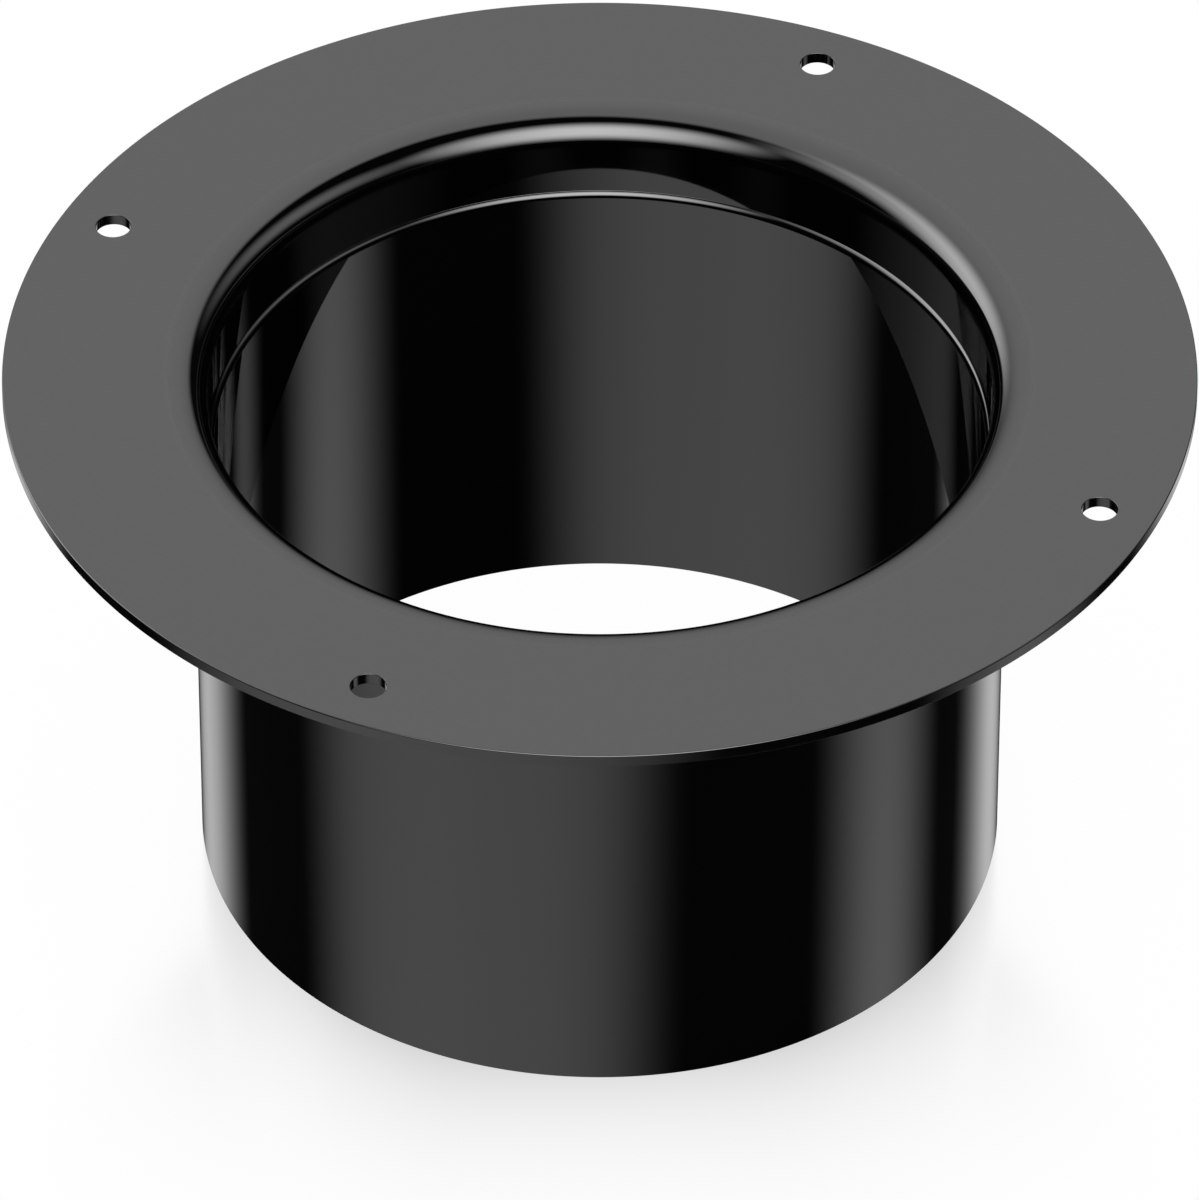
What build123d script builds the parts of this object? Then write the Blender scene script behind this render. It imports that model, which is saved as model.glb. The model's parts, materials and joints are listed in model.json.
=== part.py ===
from build123d import *
import math
import os

# Round wall flange for 100 mm air duct, moulded in one piece of plastic.
# Millimetres, +Z up. It stands on the open end of its collar at Z = 0, with the plate on top,
# the collar's axis on Z, and the screw holes on the X and Y axes.

# Heights
overall_height = 74.0      # open end of the collar to the top face of the plate
plate_thickness = 1.6
throat_depth = 11.1        # top face of the plate to the throat, the narrowest place inside
shoulder_height = 0.55     # the slope from the foot of the neck down to the throat

# Radii and walls, from the inside outwards
throat_diameter = 97.2
shoulder_width = 0.62      # how far the foot of the neck stands outside the throat
neck_draft = 2.0           # degrees: the neck widens from the shoulder up to the plate
bore_draft = 0.84          # degrees: the bore widens from the throat down to the open end
throat_wall = 2.8          # the collar's wall at the throat
plate_rim = 23.6           # outside of the collar to the edge of the plate

# Rounded corners of the section
lip_radius = 4.45          # top face of the plate into the neck
neck_foot_round = 0.2
throat_round = 1.25
root_radius = 2.0          # underside of the plate into the collar
plate_edge_round = 0.2     # top edge of the plate; the parting edge under it is sharp

# Screw holes
hole_count = 4
hole_diameter = 4.5
hole_edge_distance = 7.0   # centre of a hole to the edge of the plate

throat_radius = throat_diameter / 2
collar_radius = throat_radius + throat_wall
plate_radius = collar_radius + plate_rim
neck_radius = throat_radius + shoulder_width
throat_level = overall_height - throat_depth
shoulder_level = throat_level + shoulder_height
underside = overall_height - plate_thickness
mouth_radius = neck_radius + (overall_height - shoulder_level) * math.tan(math.radians(neck_draft))
end_radius = throat_radius + throat_level * math.tan(math.radians(bore_draft))
hole_circle_radius = plate_radius - hole_edge_distance


def section():
    """Half section of the flange, right of the axis: X is the radius and Y the height."""
    corners = [
        (end_radius, 0, None),
        (collar_radius, 0, None),
        (collar_radius, underside, root_radius),
        (plate_radius, underside, None),
        (plate_radius, overall_height, plate_edge_round),
        (mouth_radius, overall_height, lip_radius),
        (neck_radius, shoulder_level, neck_foot_round),
        (throat_radius, throat_level, throat_round),
    ]
    outline = Polyline([(radius, height) for radius, height, rounding in corners], close=True)
    half = make_face(outline)
    for radius, height, rounding in corners:
        if rounding:
            corner = half.vertices().sort_by_distance((radius, height))[0]
            half = fillet(corner, rounding)
    return half


def screw_holes():
    """Straight holes through the plate, evenly spaced on their circle."""
    hole = Pos(0, 0, underside) * Cylinder(
        hole_diameter / 2, plate_thickness, align=(Align.CENTER, Align.CENTER, Align.MIN)
    )
    return [place * hole for place in PolarLocations(hole_circle_radius, hole_count)]


def duct_flange():
    turned = revolve(Plane.XZ * section(), Axis.Z)
    return turned - screw_holes()


os.makedirs("parts", exist_ok=True)
export_step(duct_flange(), "parts/duct_flange.step")
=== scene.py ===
import json
import math

import bpy
import numpy as np
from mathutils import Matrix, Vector


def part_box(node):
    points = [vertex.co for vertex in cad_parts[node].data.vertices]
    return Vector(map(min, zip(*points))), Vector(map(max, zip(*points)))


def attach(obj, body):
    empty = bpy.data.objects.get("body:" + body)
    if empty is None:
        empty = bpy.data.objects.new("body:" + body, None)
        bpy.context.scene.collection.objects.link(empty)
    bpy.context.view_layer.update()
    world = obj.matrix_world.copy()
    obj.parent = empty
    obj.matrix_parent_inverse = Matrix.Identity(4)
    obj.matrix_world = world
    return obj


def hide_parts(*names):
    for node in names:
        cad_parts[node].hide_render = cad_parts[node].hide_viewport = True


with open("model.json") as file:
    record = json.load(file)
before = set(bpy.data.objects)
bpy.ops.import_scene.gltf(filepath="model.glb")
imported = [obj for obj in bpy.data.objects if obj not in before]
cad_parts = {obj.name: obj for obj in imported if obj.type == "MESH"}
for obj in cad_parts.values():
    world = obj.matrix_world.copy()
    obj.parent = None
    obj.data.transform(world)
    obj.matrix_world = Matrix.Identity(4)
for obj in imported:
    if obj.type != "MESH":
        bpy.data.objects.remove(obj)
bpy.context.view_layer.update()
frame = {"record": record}        # one body "root" that carries the node "duct_flange"
lowest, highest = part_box("duct_flange")
mountSizes = {mount["name"]: mount["dims"] for mount in frame["record"]["mounts"]}
print("frame loaded")

# What a user may change on the flange, in metres and degrees. The rest comes from the frame.
flangeShape = {
    "plateThickness": 0.0016,
    "throatDepth": 0.011175,    # top of the plate to the narrowest place inside
    "throatWall": 0.0028,
    "shoulderHeight": 0.0004,   # the slope from the foot of the neck down to the throat
    "shoulderWidth": 0.00051,
    "neckDraft": 2.06,          # the neck widens upwards
    "boreDraft": 0.84,          # the bore widens downwards
    "lipRadius": 0.00445,
    "neckFootRound": 0.00008,
    "throatRound": 0.00115,
    "rootRadius": 0.002,
    "plateEdgeRound": 0.0002,
    "sharpEdgeRound": 0.00004,  # what light still catches on the parting edge and the collar's end
    "holeEdgeRound": 0.00012,
    "turnSteps": 600,           # steps round the axis
    "patchSteps": 16,           # steps along each side of the patch round a hole
    "patchRings": 6,            # rings from that patch's sides to the hole
}


# A rounded corner of the section, as rows of radius, height and normal. The heading turns evenly from
# the way in to the way out, the normal is a quarter turn to the right of the heading, which is away
# from the plastic, and the point is the arc's centre plus the rounding along that normal.
def roundedCorner(before, corner, after, rounding, steps):
    before, corner, after = np.array(before), np.array(corner), np.array(after)
    wayIn = (corner - before) / np.linalg.norm(corner - before)
    wayOut = (after - corner) / np.linalg.norm(after - corner)
    turn = math.atan2(wayIn[0] * wayOut[1] - wayIn[1] * wayOut[0], wayIn @ wayOut)
    start = corner - wayIn * rounding * math.tan(abs(turn) / 2)
    side = math.copysign(rounding, turn)
    centre = start + side * np.array([-wayIn[1], wayIn[0]])
    heading = math.atan2(wayIn[1], wayIn[0]) + turn * np.linspace(0, 1, steps + 1)
    normals = np.stack([np.sin(heading), -np.cos(heading)], 1)
    return np.hstack([centre + side * normals, normals])


# The half section, anticlockwise from the bore's foot, in two runs that leave the plate's two faces out:
# one from the plate's top into the neck, round the collar and back to the plate, and one round the rim.
def flangeRuns(shape):
    collarRadius = mountSizes["collar_outside"]["r_mm"] / 1000
    plateRadius, top, foot = highest.x, highest.z, lowest.z
    underside = top - shape["plateThickness"]
    throatLevel = top - shape["throatDepth"]
    throatRadius = collarRadius - shape["throatWall"]
    neckLevel = throatLevel + shape["shoulderHeight"]
    neckRadius = throatRadius + shape["shoulderWidth"]
    mouthRadius = neckRadius + (top - neckLevel) * math.tan(math.radians(shape["neckDraft"]))
    endRadius = throatRadius + (throatLevel - foot) * math.tan(math.radians(shape["boreDraft"]))
    corners = [
        ((endRadius, foot), shape["sharpEdgeRound"], 3),
        ((collarRadius, foot), shape["sharpEdgeRound"], 3),
        ((collarRadius, underside), shape["rootRadius"], 12),
        ((plateRadius, underside), shape["sharpEdgeRound"], 3),
        ((plateRadius, top), shape["plateEdgeRound"], 8),
        ((mouthRadius, top), shape["lipRadius"], 36),
        ((neckRadius, neckLevel), shape["neckFootRound"], 8),
        ((throatRadius, throatLevel), shape["throatRound"], 14),
    ]
    arcs = [
        roundedCorner(corners[i - 1][0], corners[i][0], corners[(i + 1) % len(corners)][0], *corners[i][1:])
        for i in range(len(corners))
    ]
    inner = np.vstack([arcs[i] for i in (5, 6, 7, 0, 1, 2)])
    rim = np.vstack([arcs[i] for i in (3, 4)])
    return inner, rim


# A run turned about the Z axis: at angle a its point is (radius cos a, radius sin a, height).
def turnedGrid(run, angles):
    radius, height, outward, upward = run.T
    cosine, sine = np.cos(angles)[:, None], np.sin(angles)[:, None]
    level = np.ones_like(cosine)
    points = np.stack([cosine * radius, sine * radius, level * height], -1)
    normals = np.stack([cosine * outward, sine * outward, level * upward], -1)
    return points, normals


# The patch round a hole: its outer line is a sector of the plate, cut by two radii and two arcs, and
# its inner line is the hole's edge. Rings between them are shares of the way from one to the other.
# The grid goes in over the plate's top, down the hole's wall and out again over the underside.
def holePatch(shape, holeAngle, innerRadius, outerRadius, halfAngle, top, underside):
    steps, rings = shape["patchSteps"], shape["patchRings"]
    edge = shape["holeEdgeRound"]
    holeRadius = mountSizes["wall_screws"]["hole_r_mm"] / 1000
    pitchRadius = mountSizes["wall_screws"]["pcd_mm"] / 2000
    sweep = np.linspace(-halfAngle, halfAngle, steps + 1)
    reach = np.linspace(outerRadius, innerRadius, steps + 1)
    sideRadius = np.concatenate([
        np.full(steps, outerRadius), reach[:-1], np.full(steps, innerRadius), reach[::-1],
    ])
    sideAngle = holeAngle + np.concatenate([
        sweep[:-1], np.full(steps, halfAngle), sweep[::-1][:-1], np.full(steps + 1, -halfAngle),
    ])
    outline = np.stack([sideRadius * np.cos(sideAngle), sideRadius * np.sin(sideAngle)], 1)
    centre = pitchRadius * np.array([math.cos(holeAngle), math.sin(holeAngle)])
    around = holeAngle + math.radians(-45) + np.linspace(0, 2 * math.pi, 4 * steps + 1)
    ray = np.stack([np.cos(around), np.sin(around)], 1)
    shares = np.linspace(0, 1, rings + 1)[:-1, None, None]
    mouth = centre + (holeRadius + edge) * ray
    flat = outline + shares * (mouth - outline)
    upperEdge = roundedCorner((holeRadius + 1, top), (holeRadius, top), (holeRadius, underside), edge, 5)
    lowerEnd = (holeRadius + 1, underside)
    lowerEdge = roundedCorner((holeRadius, top), (holeRadius, underside), lowerEnd, edge, 5)
    wall = np.vstack([upperEdge, lowerEdge])
    wallPoints = centre + wall[:, 0, None, None] * ray
    wallNormals = wall[:, 2, None, None] * ray
    flatLevel = np.full((rings, len(ray), 1), 1.0)
    wallLevel = np.ones((1, len(ray), 1))
    points = np.vstack([
        np.dstack([flat, flatLevel * top]),
        np.dstack([wallPoints, wall[:, 1, None, None] * wallLevel]),
        np.dstack([flat[::-1], flatLevel * underside]),
    ])
    normals = np.vstack([
        np.dstack([flat * 0, flatLevel]),
        np.dstack([wallNormals, wall[:, 3, None, None] * wallLevel]),
        np.dstack([flat * 0, -flatLevel]),
    ])
    return points.swapaxes(0, 1), normals.swapaxes(0, 1)


# Four-sided faces of a grid of rows and columns, without the cells that a mask leaves out.
def gridFaces(rows, columns, keep=None):
    index = np.arange(rows * columns).reshape(rows, columns)
    faces = np.stack([index[:-1, :-1], index[1:, :-1], index[1:, 1:], index[:-1, 1:]], -1)
    if keep is not None:
        faces = faces[keep]
    return faces.reshape(-1, 4)


# One closed mesh from several grids that meet along shared lines: points that agree to a tenth of a
# micrometre become one, and each point keeps the exact normal that its formula gives.
def closedMesh(name, grids):
    points = np.vstack([grid[0].reshape(-1, 3) for grid in grids])
    normals = np.vstack([grid[1].reshape(-1, 3) for grid in grids])
    starts = np.cumsum([0] + [grid[0].reshape(-1, 3).shape[0] for grid in grids[:-1]])
    faces = np.vstack([
        start + gridFaces(grid[0].shape[0], grid[0].shape[1], grid[2]) for start, grid in zip(starts, grids)
    ])
    keys = np.floor(points * 1e7 + 0.37).astype(np.int64)
    first, merged = np.unique(keys, axis=0, return_index=True, return_inverse=True)[1:]
    faces = merged.ravel()[faces]
    mesh = bpy.data.meshes.new(name)
    mesh.from_pydata(points[first].tolist(), [], faces.tolist())
    mesh.shade_smooth()
    mesh.normals_split_custom_set_from_vertices(normals[first].tolist())
    piece = bpy.data.objects.new(name, mesh)
    bpy.context.scene.collection.objects.link(piece)
    return piece


def makeFlange(shape):
    inner, rim = flangeRuns(shape)
    angles = np.linspace(0, 2 * math.pi, shape["turnSteps"] + 1)
    top, underside = inner[0, 1], inner[-1, 1]
    steps = shape["patchSteps"]
    holeCount = mountSizes["wall_screws"]["count"]
    pitchRadius = mountSizes["wall_screws"]["pcd_mm"] / 2000
    halfAngle = angles[1] * steps / 2
    halfReach = pitchRadius * halfAngle
    patchRadii = np.linspace(pitchRadius - halfReach, pitchRadius + halfReach, steps + 1)
    radii = np.concatenate([[inner[-1, 0]], patchRadii, [rim[0, 0]]])
    underRun = np.stack([radii, radii * 0 + underside, radii * 0, radii * 0 - 1], 1)
    radii = np.concatenate([[rim[-1, 0]], patchRadii[::-1], [inner[0, 0]]])
    topRun = np.stack([radii, radii * 0 + top, radii * 0, radii * 0 + 1], 1)
    middle = (angles[:-1] + angles[1:]) / 2
    fromHole = (middle + math.pi / holeCount) % (2 * math.pi / holeCount) - math.pi / holeCount
    inPatch = np.zeros((len(middle), len(radii) - 1), bool)
    inPatch[:, 1:-1] = (np.abs(fromHole) < halfAngle)[:, None]
    grids = [
        (*turnedGrid(inner, angles), None),
        (*turnedGrid(rim, angles), None),
        (*turnedGrid(topRun, angles), ~inPatch),
        (*turnedGrid(underRun, angles), ~inPatch),
    ]
    for holeAngle in np.arange(holeCount) * 2 * math.pi / holeCount:
        patch = holePatch(shape, holeAngle, patchRadii[0], patchRadii[-1], halfAngle, top, underside)
        grids.append((*patch, None))
    return closedMesh("flange", grids)


def addNode(tree, kind, inputs=None, **settings):
    node = tree.nodes.new(kind)
    for name, value in settings.items():
        setattr(node, name, value)
    for socket, value in (inputs or {}).items():
        if isinstance(value, bpy.types.NodeSocket):
            tree.links.new(value, node.inputs[socket])
        else:
            node.inputs[socket].default_value = value
    return node


def mathNode(tree, operation, *values):
    return addNode(tree, "ShaderNodeMath", dict(enumerate(values)), operation=operation).outputs[0]


def distanceOut(tree, place):
    return addNode(tree, "ShaderNodeVectorMath", {0: place}, operation="LENGTH").outputs["Value"]


def smoothEdge(tree, value, none, full):
    inputs = {"Value": value, "From Min": none, "From Max": full}
    return addNode(tree, "ShaderNodeMapRange", inputs, interpolation_type="SMOOTHSTEP").outputs["Result"]


# Gloss black as it leaves a polished mould: nearly a mirror, with a slow flow of the plastic that
# shifts the gloss a little and bends reflections by a few hundredths of a degree. The flat face of the
# plate fades from that gloss at the lip into a duller satin with little specular and a grey colour,
# which is a painted reflection: it stands in for the light above that the black face mirrors. So it
# doesn't burn out to white under the lights, but turns pale where it is seen nearly edge on.
plasticLook = {
    "darkest": (0.0007, 0.0007, 0.0008, 1),
    "lightest": (0.0012, 0.0012, 0.0013, 1),
    "flowScale": 26.0,
    "flowHeight": 0.0000012,
    "grainScale": 1400.0,
    "grainShare": 0.35,         # of the grain in the gloss, and the rest is flow
    "noiseSpan": (0.3, 0.7),    # where nearly all of the noise lies
    "smoothest": 0.01,
    "dullest": 0.02,
    "bend": 1.5,                # index of refraction
    # painted reflection: the flat face's grey stands in for the light above mirrored in the black plastic
    "paintedSheenDark": (0.100, 0.100, 0.1005, 1),
    "paintedSheenLight": (0.108, 0.108, 0.1085, 1),
    "paintedSheenFrom": 0.0537,        # radius where the painted sheen and the satin start and where they are full, on the face alone
    "paintedSheenFull": 0.0550,
    "paintedSheenLow": 0.00005,        # depths under the plate's top where the painted sheen and the satin start and where they are full
    "paintedSheenHigh": 0.00001,
    "gloss": 0.5,               # specular level of the plain plastic, and of the satin
    "satinGloss": 0.06,
    "satinDull": 0.3,           # roughness that the satin adds
}


def blackPlastic(look):
    material = bpy.data.materials.new("blackPlastic")
    material.use_nodes = True
    tree = material.node_tree
    shader = tree.nodes["Principled BSDF"]
    place = addNode(tree, "ShaderNodeTexCoord").outputs["Object"]
    flow = addNode(tree, "ShaderNodeTexNoise", {
        "Vector": place, "Scale": look["flowScale"], "Detail": 2.0, "Roughness": 0.4, "Distortion": 0.6,
    }).outputs["Fac"]
    grain = addNode(tree, "ShaderNodeTexNoise", {
        "Vector": place, "Scale": look["grainScale"], "Detail": 2.0,
    }).outputs["Fac"]
    tone = addNode(tree, "ShaderNodeMix", {
        "Factor": flow, "A": look["darkest"], "B": look["lightest"],
    }, data_type="RGBA")
    level = addNode(tree, "ShaderNodeVectorMath", {0: place, 1: (1, 1, 0)}, operation="MULTIPLY").outputs[0]
    # mask of the flat face beyond the lip, where the colour is a painted reflection and the finish is satin
    outward = smoothEdge(tree, distanceOut(tree, level), look["paintedSheenFrom"], look["paintedSheenFull"])
    height = addNode(tree, "ShaderNodeSeparateXYZ", {"Vector": place}).outputs["Z"]
    face = smoothEdge(tree, height, highest.z - look["paintedSheenLow"], highest.z - look["paintedSheenHigh"])
    satinAndPaintedSheen = mathNode(tree, "MULTIPLY", face, outward)
    # painted reflection: grey for the flat face in place of the light above that it mirrors
    paintedSheenTone = addNode(tree, "ShaderNodeMix", {
        "Factor": grain, "A": look["paintedSheenDark"], "B": look["paintedSheenLight"],
    }, data_type="RGBA")
    colour = addNode(tree, "ShaderNodeMix", {
        "Factor": satinAndPaintedSheen, "A": tone.outputs["Result"], "B": paintedSheenTone.outputs["Result"],
    }, data_type="RGBA")
    tree.links.new(colour.outputs["Result"], shader.inputs["Base Color"])
    specular = mathNode(tree, "MULTIPLY_ADD", satinAndPaintedSheen, look["satinGloss"] - look["gloss"], look["gloss"])
    tree.links.new(specular, shader.inputs["Specular IOR Level"])
    blend = mathNode(tree, "MULTIPLY", flow, 1 - look["grainShare"])
    blend = mathNode(tree, "MULTIPLY_ADD", grain, look["grainShare"], blend)
    gloss = addNode(tree, "ShaderNodeMapRange", {
        "Value": blend, "From Min": look["noiseSpan"][0], "From Max": look["noiseSpan"][1],
        "To Min": look["smoothest"], "To Max": look["dullest"],
    })
    rough = mathNode(tree, "MULTIPLY_ADD", satinAndPaintedSheen, look["satinDull"], gloss.outputs["Result"])
    tree.links.new(rough, shader.inputs["Roughness"])
    bump = addNode(tree, "ShaderNodeBump", {"Height": flow, "Distance": look["flowHeight"], "Strength": 1.0})
    tree.links.new(bump.outputs["Normal"], shader.inputs["Normal"])
    shader.inputs["IOR"].default_value = look["bend"]
    return material


flange = makeFlange(flangeShape)
flange.data.materials.append(blackPlastic(plasticLook))
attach(flange, "root")
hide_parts("duct_flange")
print("flange made:", len(flange.data.polygons), "faces")

# The camera of the photograph: its turn round the flange, its height angle, how far it stands from the
# middle of the plate's top, and how far below and beside that point it aims.
cameraSpot = {
    "turn": 24.47, "height": 40.139, "distance": 1.556, "lens": 371.93, "below": 0.029457, "beside": 0.000034,
}


def makeCamera(spot):
    turn, height = math.radians(spot["turn"]), math.radians(spot["height"])
    look = Vector((-math.sin(turn) * math.cos(height), math.cos(turn) * math.cos(height), -math.sin(height)))
    right = Vector((math.cos(turn), math.sin(turn), 0))
    up = right.cross(look)
    aim = Vector((0, 0, highest.z)) - up * spot["below"] - right * spot["beside"]
    data = bpy.data.cameras.new("camera")
    data.lens = spot["lens"]
    data.sensor_width = 36
    data.clip_start, data.clip_end = 0.05, 20
    camera = bpy.data.objects.new("camera", data)
    bpy.context.scene.collection.objects.link(camera)
    camera.location = aim - look * spot["distance"]
    camera.rotation_mode = "QUATERNION"
    camera.rotation_quaternion = look.to_track_quat("-Z", "Y")
    bpy.context.scene.camera = camera


makeCamera(cameraSpot)
print("camera made")

# The studio that the gloss reflects. Each light stands in a direction given by its turn from the
# camera and its tilt above the horizon. A soft box's half width, half height and the softness of its
# edges are shares of its distance, and the edges are those towards a smaller turn, towards a larger
# turn, below and above.
softBoxes = {
    "left": {
        "turn": -113, "tilt": 14.3, "roll": -41, "level": 13.7,
        "size": (0.32, 0.24), "soft": (0.29, 0.27, 0.65, 2.0),
    },
    "front": {
        "turn": 3, "tilt": 32.0, "roll": 0, "level": 12.4,
        "size": (0.58, 0.37), "soft": (0.57, 0.56, 0.28, 0.29),
    },
    "right": {
        "turn": 80, "tilt": 25.6, "roll": 0, "level": 4.07,
        "size": (0.23, 0.19), "soft": (0.64, 1.19, 0.15, 0.16),
    },
    "lowFront": {
        "turn": -35, "tilt": -40.3, "roll": 0, "level": 1.18,
        "size": (0.67, 0.245), "soft": (0.60, 0.48, 0.15, 0.20),
    },
    "lowRight": {
        "turn": 87, "tilt": -50, "roll": 0, "level": 2.4,
        "size": (0.075, 0.26), "soft": (0.26, 0.31, 0.41, 0.20),
    },
    "lowBackRight": {
        "turn": 150, "tilt": -48, "roll": 0, "level": 2.5,
        "size": (0.065, 0.63), "soft": (0.31, 0.27, 0.18, 0.36),
    },
    "lowBackLeft": {
        "turn": -148, "tilt": -50, "roll": 0, "level": 1.07,
        "size": (0.19, 0.79), "soft": (0.17, 0.17, 0.80, 0.55),
    },
}

# A large round light over the back of the flange. Its radius and soft edge are angles, and it dims
# from a height where it is full down to one where it is out, as heights on a ball of radius 1.
roundLight = {
    "turn": -160.5, "tilt": 45.8, "radius": 51.1, "soft": 5.4, "out": -0.19, "full": 0.94, "level": 2.44,
}
studioGlow = 0.012            # what the gloss sees between the lights
studioLevel = 1.0             # plain light all round for everything that isn't a reflection


def towards(light, spot):
    turn, tilt = math.radians(light["turn"] + spot["turn"]), math.radians(light["tilt"])
    forward = Vector((math.sin(turn) * math.cos(tilt), -math.cos(turn) * math.cos(tilt), math.sin(tilt)))
    return forward, Vector((math.cos(turn), math.sin(turn), 0))


def along(tree, direction, axis):
    node = addNode(tree, "ShaderNodeVectorMath", {0: direction, 1: axis}, operation="DOT_PRODUCT")
    return node.outputs["Value"]


# A soft box seen in a direction: the direction's two sideways parts divided by its forward part are a
# place on the box's plane, and across each edge the light fades smoothly over twice the softness.
def softBoxGroup():
    tree = bpy.data.node_groups.new("softBox", "ShaderNodeTree")
    for name in ("Direction", "Forward", "Sideways", "Upward"):
        tree.interface.new_socket(name, in_out="INPUT", socket_type="NodeSocketVector")
    across = ("Sideways", "Half Width", "Soft Before", "Soft After")
    upright = ("Upward", "Half Height", "Soft Below", "Soft Above")
    for name in ("Half Width", "Half Height", *across[2:], *upright[2:], "Level"):
        tree.interface.new_socket(name, in_out="INPUT", socket_type="NodeSocketFloat")
    tree.interface.new_socket("Light", in_out="OUTPUT", socket_type="NodeSocketFloat")
    given = addNode(tree, "NodeGroupInput").outputs
    forward = along(tree, given["Direction"], given["Forward"])
    ahead = mathNode(tree, "MAXIMUM", forward, 0.001)           # never divides by nothing
    facing = mathNode(tree, "GREATER_THAN", forward, 0.02)      # no light from behind the box
    light = mathNode(tree, "MULTIPLY", given["Level"], facing)
    for axis, half, first, last in (across, upright):
        place = mathNode(tree, "DIVIDE", along(tree, given["Direction"], given[axis]), ahead)
        for side, soft in (("ADD", first), ("SUBTRACT", last)):
            inside = mathNode(tree, side, given[half], place)
            none = mathNode(tree, "MULTIPLY", given[soft], -1.0)
            light = mathNode(tree, "MULTIPLY", light, smoothEdge(tree, inside, none, given[soft]))
    addNode(tree, "NodeGroupOutput", {"Light": light})
    return tree


def makeStudio(boxes, disc, spot):
    world = bpy.data.worlds.new("studio")
    bpy.context.scene.world = world
    world.use_nodes = True
    tree = world.node_tree
    group = softBoxGroup()
    direction = addNode(tree, "ShaderNodeTexCoord").outputs["Generated"]
    near = along(tree, direction, towards(disc, spot)[0])
    edges = [math.cos(math.radians(disc["radius"] + side * disc["soft"])) for side in (1, -1)]
    height = addNode(tree, "ShaderNodeSeparateXYZ", {"Vector": direction}).outputs["Z"]
    dimming = mathNode(tree, "MULTIPLY", smoothEdge(tree, height, disc["out"], disc["full"]), disc["level"])
    total = mathNode(tree, "MULTIPLY_ADD", smoothEdge(tree, near, *edges), dimming, studioGlow)
    for name, box in boxes.items():
        forward, level = towards(box, spot)
        roll = math.radians(box["roll"])
        upright = forward.cross(level)
        values = [forward, level * math.cos(roll) + upright * math.sin(roll)]
        values += [forward.cross(values[1]), *box["size"], *box["soft"], box["level"]]
        lamp = addNode(tree, "ShaderNodeGroup", node_tree=group, label=name)
        tree.links.new(direction, lamp.inputs["Direction"])
        for socket, value in zip(list(lamp.inputs)[1:], values):
            socket.default_value = value
        total = mathNode(tree, "ADD", lamp.outputs["Light"], total)
    white = (1, 1, 1, 1)
    plain = addNode(tree, "ShaderNodeBackground", {"Color": white, "Strength": studioLevel}).outputs[0]
    reflected = addNode(tree, "ShaderNodeBackground", {"Color": white, "Strength": total}).outputs[0]
    glossy = addNode(tree, "ShaderNodeLightPath").outputs["Is Glossy Ray"]
    chosen = addNode(tree, "ShaderNodeMixShader", {0: glossy, 1: plain, 2: reflected}).outputs[0]
    tree.nodes.remove(tree.nodes["Background"])
    tree.links.new(chosen, tree.nodes["World Output"].inputs["Surface"])


makeStudio(softBoxes, roundLight, cameraSpot)
print("studio made")

# White floor: a share of its white takes the flange's real shadow, and close to the collar it is
# polished, so that it mirrors the collar faintly, less and less further out.
floorLook = {
    "reach": 3.0,
    "shadowShare": 0.02,
    "mirror": 0.15,             # gloss where it touches the collar
    "mirrorReach": 0.0115,      # distance over which the gloss falls to about a third
    "mirroredLight": 2.1,       # level of the round light that it mirrors towards the camera
    "roughness": 0.15,
    "white": 0.9,               # what lights the flange from below
}


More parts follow.
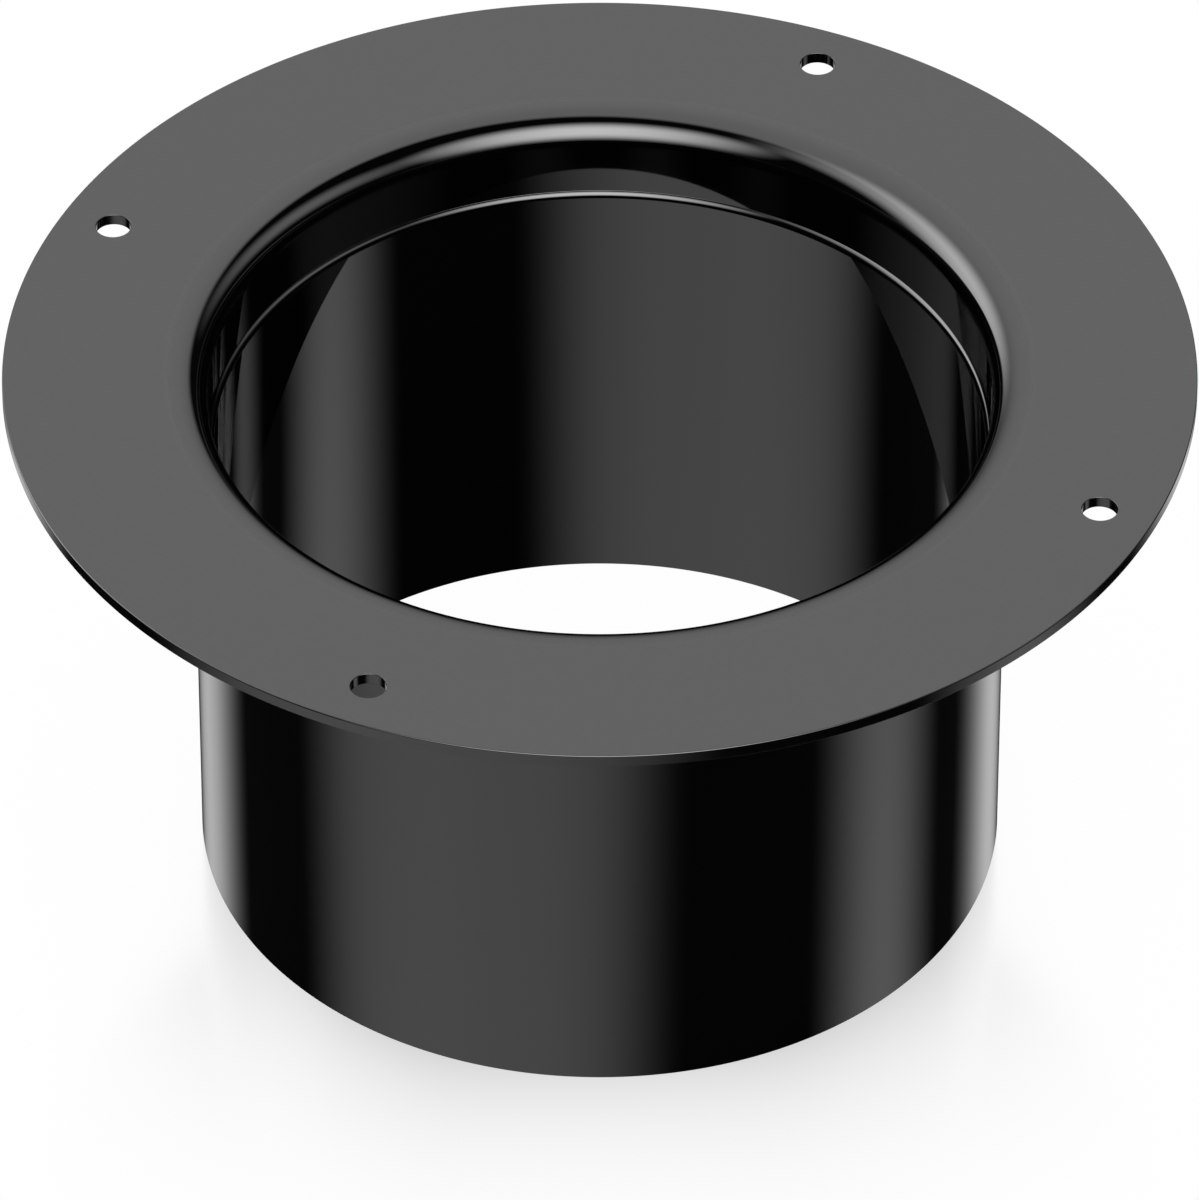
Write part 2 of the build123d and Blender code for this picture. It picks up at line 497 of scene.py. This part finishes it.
def floorMaterial(look):
    material = bpy.data.materials.new("whiteFloor")
    material.use_nodes = True
    tree = material.node_tree
    tree.nodes.remove(tree.nodes["Principled BSDF"])
    place = addNode(tree, "ShaderNodeTexCoord").outputs["Object"]
    collarRadius = mountSizes["collar_outside"]["r_mm"] / 1000
    beyond = mathNode(tree, "SUBTRACT", distanceOut(tree, place), collarRadius)
    decay = mathNode(tree, "EXPONENT", mathNode(tree, "DIVIDE", beyond, -look["mirrorReach"]))
    outside = mathNode(tree, "GREATER_THAN", beyond, 0.0)
    mirror = mathNode(tree, "MULTIPLY", mathNode(tree, "MULTIPLY", decay, outside), look["mirror"])
    white = mathNode(tree, "MULTIPLY_ADD", mirror, -look["mirroredLight"], 1 - look["shadowShare"])
    glow = addNode(tree, "ShaderNodeEmission", {"Strength": white}).outputs[0]
    share = (look["shadowShare"],) * 3 + (1,)
    shaded = addNode(tree, "ShaderNodeBsdfDiffuse", {"Color": share}).outputs[0]
    polish = {"Color": mirror, "Roughness": look["roughness"]}
    polished = addNode(tree, "ShaderNodeBsdfGlossy", polish).outputs[0]
    seen = addNode(tree, "ShaderNodeAddShader", {0: glow, 1: shaded}).outputs[0]
    seen = addNode(tree, "ShaderNodeAddShader", {0: seen, 1: polished}).outputs[0]
    plain = addNode(tree, "ShaderNodeBsdfDiffuse", {"Color": (look["white"],) * 3 + (1,)}).outputs[0]
    clear = addNode(tree, "ShaderNodeBsdfTransparent").outputs[0]
    path = addNode(tree, "ShaderNodeLightPath").outputs
    direct = mathNode(tree, "MAXIMUM", path["Is Camera Ray"], path["Is Transmission Ray"])
    below = addNode(tree, "ShaderNodeNewGeometry").outputs["Backfacing"]
    unseen = mathNode(tree, "MAXIMUM", path["Is Glossy Ray"], mathNode(tree, "MULTIPLY", direct, below))
    surface = addNode(tree, "ShaderNodeMixShader", {0: direct, 1: plain, 2: seen}).outputs[0]
    surface = addNode(tree, "ShaderNodeMixShader", {0: unseen, 1: surface, 2: clear}).outputs[0]
    tree.links.new(surface, tree.nodes["Material Output"].inputs["Surface"])
    material.cycles.emission_sampling = "NONE"
    return material


def makeFloor(look):
    reach = look["reach"]
    corners = np.array([[-1, -1, 0], [1, -1, 0], [1, 1, 0], [-1, 1, 0]]) * reach
    mesh = bpy.data.meshes.new("floor")
    mesh.from_pydata(corners.tolist(), [], [(0, 1, 2, 3)])
    floor = bpy.data.objects.new("floor", mesh)
    bpy.context.scene.collection.objects.link(floor)
    floor.data.materials.append(floorMaterial(look))


makeFloor(floorLook)
bpy.context.scene.view_settings.view_transform = "Standard"
print("floor made")

bpy.context.view_layer.update()
